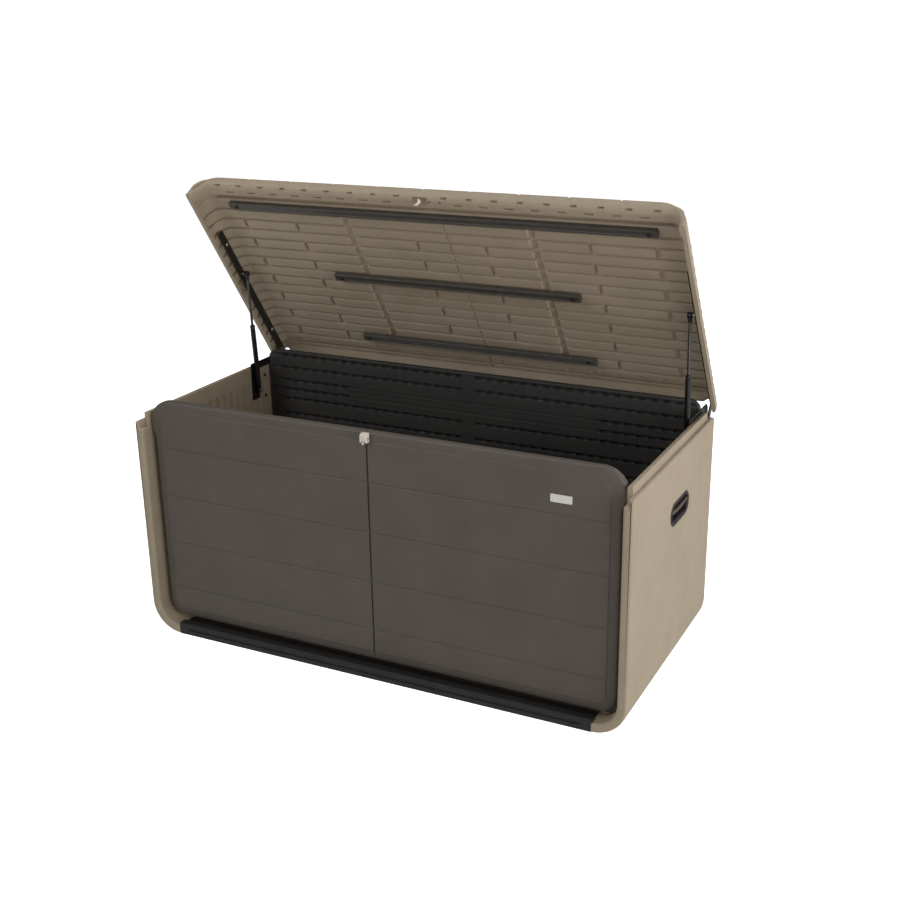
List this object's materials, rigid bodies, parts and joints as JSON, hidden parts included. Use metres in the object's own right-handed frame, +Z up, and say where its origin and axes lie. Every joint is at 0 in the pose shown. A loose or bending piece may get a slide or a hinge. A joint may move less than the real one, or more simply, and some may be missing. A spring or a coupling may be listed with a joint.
{
  "type": "deck storage box",
  "caption": "Long moulded outdoor storage box with a hinged, gas-strut lid that stands open, recessed carry handles at both ends and a padlock point at the front.",
  "frame": {"origin": "on the ground under the middle of the box's footprint", "axes": "+X along the box's length to the right seen from the front, +Y from the front to the hinges, +Z up"},
  "size_m": [1.5356, 0.8038, 1.3358],
  "materials": {
    "sand_moulded_plastic": "moulded, satin, lightly grained",
    "brown_moulded_plastic": "moulded, satin, lightly grained",
    "charcoal_moulded_plastic": "moulded, matt",
    "channel_steel": "powder coated, satin",
    "black_coated_steel": "black coated, satin",
    "strut_rod_steel": "black nitrided, polished",
    "zinc_plated_steel": "zinc plated",
    "lock_metal": "pale coated, satin",
    "label_plastic": "satin"
  },
  "bodies": {
    "box": {"floor_panel": "charcoal_moulded_plastic", "front_panel": "brown_moulded_plastic", "back_panel": "charcoal_moulded_plastic", "lock_staple": "lock_metal", "label_plate": "label_plastic", "left_side_panel": "sand_moulded_plastic", "right_side_panel": "sand_moulded_plastic", "left_hinge_plate": "black_coated_steel", "right_hinge_plate": "black_coated_steel", "left_hinge_pin": "zinc_plated_steel", "right_hinge_pin": "zinc_plated_steel", "left_strut_lower_stud": "zinc_plated_steel", "right_strut_lower_stud": "zinc_plated_steel", "left_handle_cup": "charcoal_moulded_plastic", "right_handle_cup": "charcoal_moulded_plastic", "left_handle_grip": "charcoal_moulded_plastic", "right_handle_grip": "charcoal_moulded_plastic", "left_hinge_plate_bolt_1": "black_coated_steel", "right_hinge_plate_bolt_1": "black_coated_steel", "left_hinge_plate_bolt_2": "black_coated_steel", "right_hinge_plate_bolt_2": "black_coated_steel", "left_corner_screw_1": "black_coated_steel", "right_corner_screw_1": "black_coated_steel", "left_corner_screw_2": "black_coated_steel", "right_corner_screw_2": "black_coated_steel"},
    "lid": {"lid_panel": "sand_moulded_plastic", "lid_lock_tab": "lock_metal", "lid_front_channel": "channel_steel", "lid_middle_channel": "channel_steel", "lid_rear_channel": "channel_steel", "lid_front_channel_left_screw": "black_coated_steel", "lid_front_channel_right_screw": "black_coated_steel", "lid_middle_channel_left_screw": "black_coated_steel", "lid_middle_channel_right_screw": "black_coated_steel", "lid_rear_channel_left_screw": "black_coated_steel", "lid_rear_channel_right_screw": "black_coated_steel", "left_lid_rail": "black_coated_steel", "right_lid_rail": "black_coated_steel", "left_strut_upper_stud": "zinc_plated_steel", "right_strut_upper_stud": "zinc_plated_steel", "left_lid_rail_bolt_1": "zinc_plated_steel", "right_lid_rail_bolt_1": "zinc_plated_steel", "left_lid_rail_bolt_2": "zinc_plated_steel", "right_lid_rail_bolt_2": "zinc_plated_steel"},
    "left_strut_cylinder": {"left_strut_lower_eye": "black_coated_steel", "left_strut_tube": "black_coated_steel"},
    "left_strut_piston": {"left_strut_rod": "strut_rod_steel", "left_strut_upper_eye": "black_coated_steel"},
    "right_strut_cylinder": {"right_strut_lower_eye": "black_coated_steel", "right_strut_tube": "black_coated_steel"},
    "right_strut_piston": {"right_strut_rod": "strut_rod_steel", "right_strut_upper_eye": "black_coated_steel"}
  },
  "joints": [
    {"name": "lid_hinge", "type": "hinge", "parent": "box", "child": "lid", "pos_m": [0, 0.372, 0.67], "axis": [1, 0, 0], "range_deg": [0, 56]},
    {"name": "left_strut_swing", "type": "hinge", "parent": "box", "child": "left_strut_cylinder", "pos_m": [-0.7244, 0.218, 0.615], "axis": [1, 0, 0], "range_deg": [0, 63.7]},
    {"name": "left_strut_slide", "type": "slide", "parent": "left_strut_cylinder", "child": "left_strut_piston", "axis": [0, -0.0688, 0.9976], "range_m": [-0.148, 0]},
    {"name": "right_strut_swing", "type": "hinge", "parent": "box", "child": "right_strut_cylinder", "pos_m": [0.7244, 0.218, 0.615], "axis": [1, 0, 0], "range_deg": [0, 63.7]},
    {"name": "right_strut_slide", "type": "slide", "parent": "right_strut_cylinder", "child": "right_strut_piston", "axis": [0, -0.0688, 0.9976], "range_m": [-0.148, 0]}
  ],
  "couplings": [
    {"joint": "left_strut_swing", "follows": "lid_hinge", "ratio": 1.1373},
    {"joint": "left_strut_slide", "follows": "lid_hinge", "m_per_rad": -0.15125},
    {"joint": "right_strut_swing", "follows": "lid_hinge", "ratio": 1.1373},
    {"joint": "right_strut_slide", "follows": "lid_hinge", "m_per_rad": -0.15125}
  ]
}
